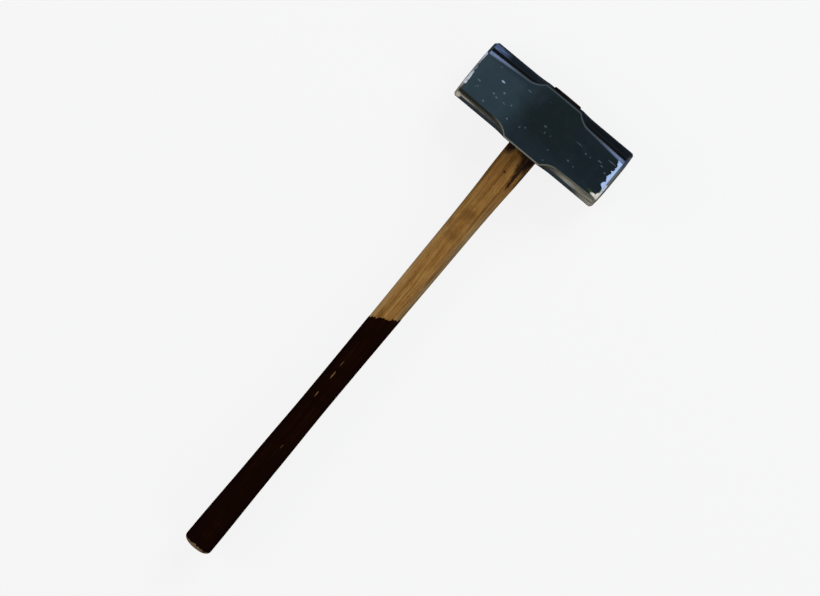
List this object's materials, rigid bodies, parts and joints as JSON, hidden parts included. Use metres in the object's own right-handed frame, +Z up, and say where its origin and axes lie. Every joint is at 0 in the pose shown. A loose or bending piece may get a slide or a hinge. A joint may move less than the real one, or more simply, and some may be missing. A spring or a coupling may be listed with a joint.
{
  "type": "sledgehammer",
  "caption": "Double-faced forged sledge head with coved edges, wedged on a short straight wooden handle with a dip-coated grip.",
  "frame": {"origin": "middle of the cheek that the head rests on, straight below the centre of the eye", "axes": "+X along the handle towards the top of the head, Y from one striking face to the other, +Z up out of the resting cheek through the head"},
  "size_m": [0.6108, 0.1864, 0.066],
  "materials": {
    "painted_steel": "satin blue-black paint over forged steel, worn to bare metal at the striking faces and along the cove edges",
    "handle_wood": "clear-lacquered ash-like hardwood, grain along the handle, stained dark where it enters the head",
    "wedge_wood": "plain hardwood end grain",
    "wedge_steel": "bare mild steel, slightly dulled",
    "grip_coat": "very dark brown dipped film, scratched through to the wood in places and worn at the butt"
  },
  "bodies": {
    "root": {"head": "painted_steel", "handle": "handle_wood", "wood_wedge": "wedge_wood", "steel_wedge_front": "wedge_steel", "steel_wedge_rear": "wedge_steel", "grip_coating": "grip_coat"}
  },
  "joints": []
}
